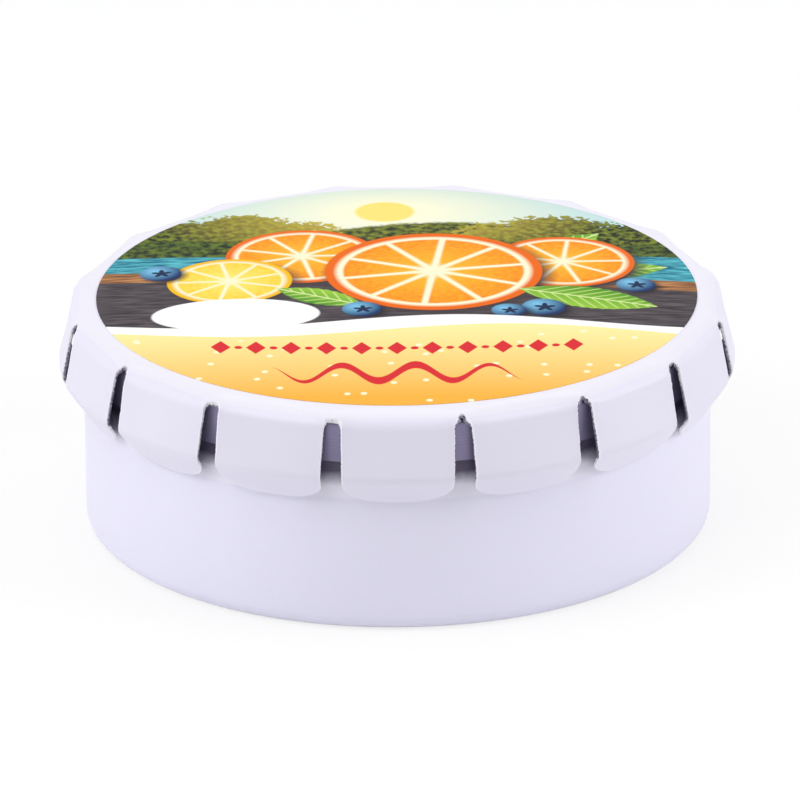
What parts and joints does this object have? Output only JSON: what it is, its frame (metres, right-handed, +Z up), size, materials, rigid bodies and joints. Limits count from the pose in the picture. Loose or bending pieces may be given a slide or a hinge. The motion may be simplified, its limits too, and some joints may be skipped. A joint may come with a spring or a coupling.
{
  "type": "mint tin",
  "caption": "Round coated steel tin whose slotted lid splays its skirt fingers when the domed panel is pressed, and then lifts off the base.",
  "frame": {"origin": "under the middle of the base, on the surface the tin stands on", "axes": "+Z up through the middle of the tin, front at -Y, a finger of the skirt centred on the front"},
  "size_m": [0.0582, 0.0582, 0.0207],
  "materials": {
    "coated_steel": "pale lavender white semi-gloss coating on tinplate",
    "print_film": "full colour printed film with a gloss varnish",
    "mint": "matt pressed sugar tablet, finely grained"
  },
  "bodies": {
    "base": {"base_pan": "coated_steel", "mints_lower_layer": "mint", "mints_upper_layer": "mint"},
    "lid": {"lid_rim": "coated_steel"},
    "panel": {"lid_panel": "coated_steel", "printed_disc": "print_film"},
    "finger_01": {"skirt_finger_01": "coated_steel"},
    "finger_02": {"skirt_finger_02": "coated_steel"},
    "finger_03": {"skirt_finger_03": "coated_steel"},
    "finger_04": {"skirt_finger_04": "coated_steel"},
    "finger_05": {"skirt_finger_05": "coated_steel"},
    "finger_06": {"skirt_finger_06": "coated_steel"},
    "finger_07": {"skirt_finger_07": "coated_steel"},
    "finger_08": {"skirt_finger_08": "coated_steel"},
    "finger_09": {"skirt_finger_09": "coated_steel"},
    "finger_10": {"skirt_finger_10": "coated_steel"},
    "finger_11": {"skirt_finger_11": "coated_steel"},
    "finger_12": {"skirt_finger_12": "coated_steel"},
    "finger_13": {"skirt_finger_13": "coated_steel"},
    "finger_14": {"skirt_finger_14": "coated_steel"},
    "finger_15": {"skirt_finger_15": "coated_steel"},
    "finger_16": {"skirt_finger_16": "coated_steel"}
  },
  "joints": [
    {"name": "lid_lift", "type": "slide", "parent": "base", "child": "lid", "axis": [0, 0, 1], "range_m": [0, 0.048]},
    {"name": "panel_press", "type": "slide", "parent": "lid", "child": "panel", "axis": [0, 0, -1], "range_m": [0, 0.001]},
    {"name": "finger_01_bend", "type": "hinge", "parent": "lid", "child": "finger_01", "pos_m": [0, -0.02761, 0.01951], "axis": [-1, 0, 0], "range_deg": [0, 5.5]},
    {"name": "finger_02_bend", "type": "hinge", "parent": "lid", "child": "finger_02", "pos_m": [0.01056, -0.0255, 0.01951], "axis": [-0.9239, -0.3827, 0], "range_deg": [0, 5.5]},
    {"name": "finger_03_bend", "type": "hinge", "parent": "lid", "child": "finger_03", "pos_m": [0.01952, -0.01952, 0.01951], "axis": [-0.7071, -0.7071, 0], "range_deg": [0, 5.5]},
    {"name": "finger_04_bend", "type": "hinge", "parent": "lid", "child": "finger_04", "pos_m": [0.0255, -0.01056, 0.01951], "axis": [-0.3827, -0.9239, 0], "range_deg": [0, 5.5]},
    {"name": "finger_05_bend", "type": "hinge", "parent": "lid", "child": "finger_05", "pos_m": [0.02761, 0, 0.01951], "axis": [0, -1, 0], "range_deg": [0, 5.5]},
    {"name": "finger_06_bend", "type": "hinge", "parent": "lid", "child": "finger_06", "pos_m": [0.0255, 0.01056, 0.01951], "axis": [0.3827, -0.9239, 0], "range_deg": [0, 5.5]},
    {"name": "finger_07_bend", "type": "hinge", "parent": "lid", "child": "finger_07", "pos_m": [0.01952, 0.01952, 0.01951], "axis": [0.7071, -0.7071, 0], "range_deg": [0, 5.5]},
    {"name": "finger_08_bend", "type": "hinge", "parent": "lid", "child": "finger_08", "pos_m": [0.01056, 0.0255, 0.01951], "axis": [0.9239, -0.3827, 0], "range_deg": [0, 5.5]},
    {"name": "finger_09_bend", "type": "hinge", "parent": "lid", "child": "finger_09", "pos_m": [0, 0.02761, 0.01951], "axis": [1, 0, 0], "range_deg": [0, 5.5]},
    {"name": "finger_10_bend", "type": "hinge", "parent": "lid", "child": "finger_10", "pos_m": [-0.01056, 0.0255, 0.01951], "axis": [0.9239, 0.3827, 0], "range_deg": [0, 5.5]},
    {"name": "finger_11_bend", "type": "hinge", "parent": "lid", "child": "finger_11", "pos_m": [-0.01952, 0.01952, 0.01951], "axis": [0.7071, 0.7071, 0], "range_deg": [0, 5.5]},
    {"name": "finger_12_bend", "type": "hinge", "parent": "lid", "child": "finger_12", "pos_m": [-0.0255, 0.01056, 0.01951], "axis": [0.3827, 0.9239, 0], "range_deg": [0, 5.5]},
    {"name": "finger_13_bend", "type": "hinge", "parent": "lid", "child": "finger_13", "pos_m": [-0.02761, 0, 0.01951], "axis": [0, 1, 0], "range_deg": [0, 5.5]},
    {"name": "finger_14_bend", "type": "hinge", "parent": "lid", "child": "finger_14", "pos_m": [-0.0255, -0.01056, 0.01951], "axis": [-0.3827, 0.9239, 0], "range_deg": [0, 5.5]},
    {"name": "finger_15_bend", "type": "hinge", "parent": "lid", "child": "finger_15", "pos_m": [-0.01952, -0.01952, 0.01951], "axis": [-0.7071, 0.7071, 0], "range_deg": [0, 5.5]},
    {"name": "finger_16_bend", "type": "hinge", "parent": "lid", "child": "finger_16", "pos_m": [-0.01056, -0.0255, 0.01951], "axis": [-0.9239, 0.3827, 0], "range_deg": [0, 5.5]}
  ],
  "couplings": [
    {"joint": "finger_01_bend", "follows": "panel_press", "rad_per_m": 95.984},
    {"joint": "finger_02_bend", "follows": "panel_press", "rad_per_m": 95.984},
    {"joint": "finger_03_bend", "follows": "panel_press", "rad_per_m": 95.984},
    {"joint": "finger_04_bend", "follows": "panel_press", "rad_per_m": 95.984},
    {"joint": "finger_05_bend", "follows": "panel_press", "rad_per_m": 95.984},
    {"joint": "finger_06_bend", "follows": "panel_press", "rad_per_m": 95.984},
    {"joint": "finger_07_bend", "follows": "panel_press", "rad_per_m": 95.984},
    {"joint": "finger_08_bend", "follows": "panel_press", "rad_per_m": 95.984},
    {"joint": "finger_09_bend", "follows": "panel_press", "rad_per_m": 95.984},
    {"joint": "finger_10_bend", "follows": "panel_press", "rad_per_m": 95.984},
    {"joint": "finger_11_bend", "follows": "panel_press", "rad_per_m": 95.984},
    {"joint": "finger_12_bend", "follows": "panel_press", "rad_per_m": 95.984},
    {"joint": "finger_13_bend", "follows": "panel_press", "rad_per_m": 95.984},
    {"joint": "finger_14_bend", "follows": "panel_press", "rad_per_m": 95.984},
    {"joint": "finger_15_bend", "follows": "panel_press", "rad_per_m": 95.984},
    {"joint": "finger_16_bend", "follows": "panel_press", "rad_per_m": 95.984}
  ]
}
